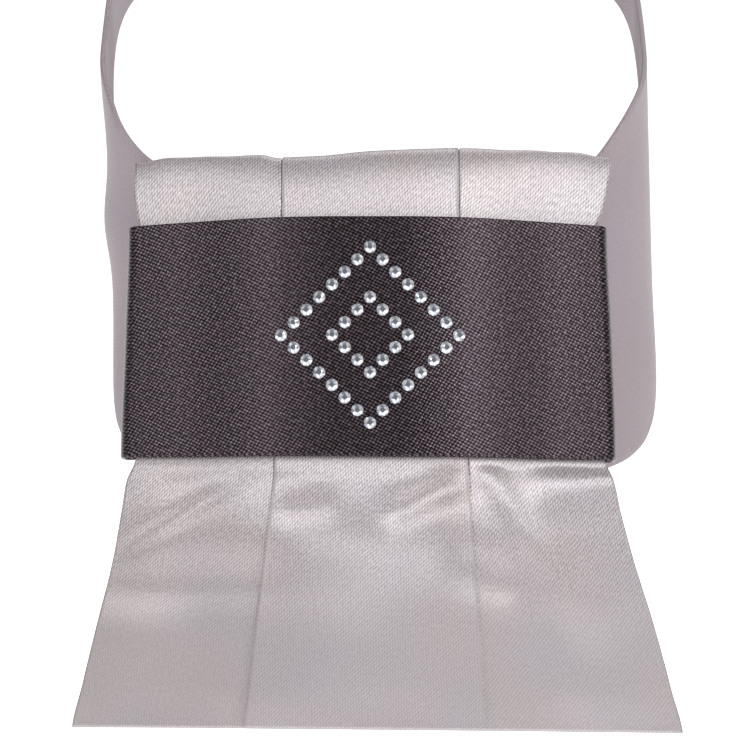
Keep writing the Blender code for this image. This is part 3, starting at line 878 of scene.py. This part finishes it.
def axes_of_view():
    """Directions of the photo's view: towards the camera, and up in its picture."""
    tilt = math.radians(CAMERA_ELEVATION)
    back = Vector((0, -math.cos(tilt), math.sin(tilt)))
    up = Vector((0, math.sin(tilt), math.cos(tilt)))
    return back, up


def point_at(thing, target):
    """Turns a light or camera so that it looks at a point."""
    thing.rotation_euler = (Vector(target) - thing.location).to_track_quat("-Z", "Y").to_euler()


def camera():
    """Long lens in front of the stock, as far off and as high as the photograph's."""
    back, up = axes_of_view()
    target = Vector((AIM_RIGHT, FRONT_Y, FRONT_Z)) - up * AIM_DOWN
    data = bpy.data.cameras.new("camera")
    data.sensor_width = 36.0
    data.lens = data.sensor_width * CAMERA_DISTANCE / FRAME_WIDTH
    data.clip_end = 50.0
    made = bpy.data.objects.new("camera", data)
    made.location = (target + back * CAMERA_DISTANCE) * MM
    point_at(made, target * MM)
    bpy.context.scene.collection.objects.link(made)
    bpy.context.scene.camera = made


def softbox(name, azimuth, elevation, distance, size, watts, colour):
    """Area light at a direction from the stock, turned to face it; size is width and height."""
    data = bpy.data.lights.new(name, "AREA")
    data.shape = "RECTANGLE"
    data.size, data.size_y = size
    data.energy = watts
    data.color = linear(colour)
    made = bpy.data.objects.new(name, data)
    a, e = math.radians(azimuth), math.radians(elevation)
    heading = Vector((math.sin(a) * math.cos(e), -math.cos(a) * math.cos(e), math.sin(e)))
    made.location = distance * heading
    point_at(made, LIT_POINT)
    bpy.context.scene.collection.objects.link(made)


def floor():
    """Pale plain floor, white paper lit evenly, well below the hem."""
    material, _, shader = new_material("white_paper", 0.9)
    shader.inputs["Base Color"].default_value = (0.9, 0.9, 0.9, 1)
    shader.inputs["Emission Color"].default_value = (1, 1, 1, 1)
    shader.inputs["Emission Strength"].default_value = FLOOR_GLOW
    mesh = bpy.data.meshes.new("floor")
    corners = [(-1, -1), (1, -1), (1, 1), (-1, 1)]
    points = [(x * FLOOR_HALF_SIZE, y * FLOOR_HALF_SIZE, FLOOR_LEVEL) for x, y in corners]
    mesh.from_pydata(points, [], [(0, 1, 2, 3)])
    mesh.materials.append(material)
    made = bpy.data.objects.new("floor", mesh)
    bpy.context.scene.collection.objects.link(made)


def lights():
    """Two soft side lights in front, a weak one behind, and an even room."""
    softbox("left_softbox", -42, 36, 0.75, (0.42, 0.36), 2.1, "#FBFFFF")
    softbox("right_softbox", 42, 36, 0.75, (0.42, 0.36), 3.35, "#FBFFFF")
    softbox("back_softbox", 165, 45, 0.9, (0.6, 0.5), 2.0, "#FFFFFF")
    world = bpy.data.worlds.new("room")
    world.use_nodes = True
    background = world.node_tree.nodes["Background"]
    background.inputs["Color"].default_value = (*linear("#F2ECEA"), 1)
    background.inputs["Strength"].default_value = ROOM_GLOW
    bpy.context.scene.world = world


camera()
lights()
floor()
bpy.context.scene.view_settings.view_transform = "Standard"

front_satin = grey_satin("grey_polyester_satin", "#90888A", "#E0D9DB", 0.5, 0.46, 0.3)
# the strap's satin is matt, with a darker base colour than the front's: painted shade for the strap
# turned away from the lights
strap_satin = grey_satin("grey_lining_satin_painted_shade", "#978D92", "#A99FA4", 0.2, 0.6, 0.0)
black = black_satin()
tape = pad_weave()
strap = neck_strap(strap_satin)
front = pleated_front(front_satin)
band = black_band(black)
pad = closure_pad(tape)
stones = crystals(cut_crystal(), crystal_table())

for piece, node, slot in (
    (strap, "neck_strap", "grey_satin"),
    (front, "pleated_front", "grey_satin"),
    (band, "black_band", "black_satin"),
    (pad, "closure_pad", "hook_and_loop"),
):
    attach(piece, "root")
    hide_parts(node)
for number, stone in enumerate(stones, start=1):
    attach(stone, "root")
    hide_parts(f"stone_{number:02d}")
